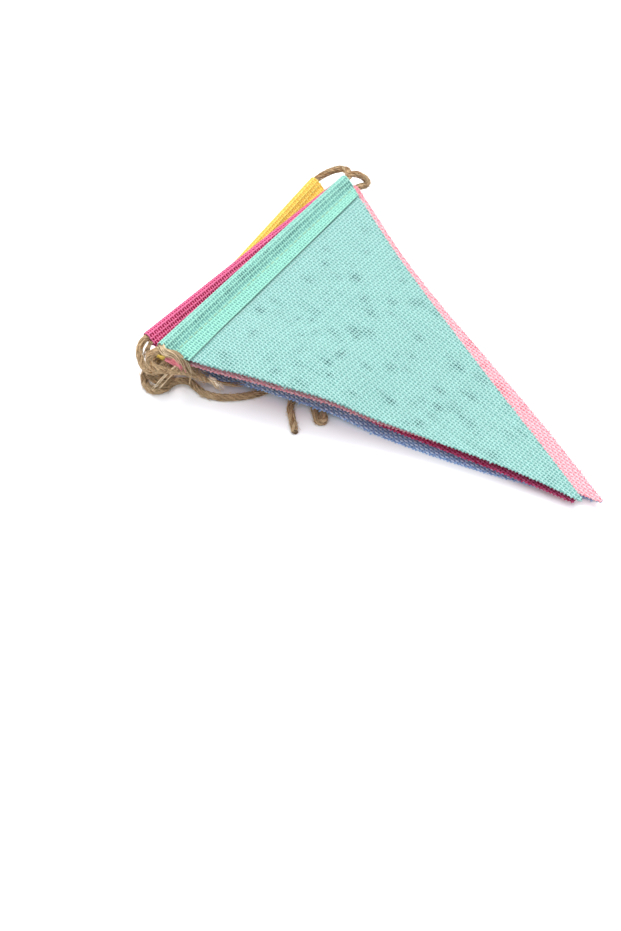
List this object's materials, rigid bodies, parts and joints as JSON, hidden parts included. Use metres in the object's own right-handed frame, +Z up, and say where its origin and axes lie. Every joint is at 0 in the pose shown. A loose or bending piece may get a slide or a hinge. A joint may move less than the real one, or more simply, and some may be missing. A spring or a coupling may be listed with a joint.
{
  "type": "fabric bunting",
  "caption": "String of triangular woven cloth pennants with sewn sleeves on a jute twine, folded to and fro into a flat stack with looped twine and loose ends.",
  "frame": {"origin": "middle of the box of the five pennants, on the surface that the stack lies on", "axes": "+Z up from that surface, X along the sleeves, +Y from the tips towards the sleeves"},
  "size_m": [0.1551, 0.214, 0.0294],
  "materials": {
    "cloth_aqua": "loose plain weave, matt",
    "cloth_light_pink": "loose plain weave, matt",
    "cloth_hot_pink": "loose plain weave, matt",
    "cloth_yellow": "loose plain weave, matt",
    "cloth_blue": "loose plain weave, matt",
    "jute": "twisted jute fibre, hairy and matt"
  },
  "bodies": {
    "root": {"flag_aqua": "cloth_aqua", "flag_light_pink": "cloth_light_pink", "flag_hot_pink": "cloth_hot_pink", "flag_yellow": "cloth_yellow", "flag_blue": "cloth_blue", "twine": "jute", "twine_tail": "jute"}
  },
  "joints": []
}
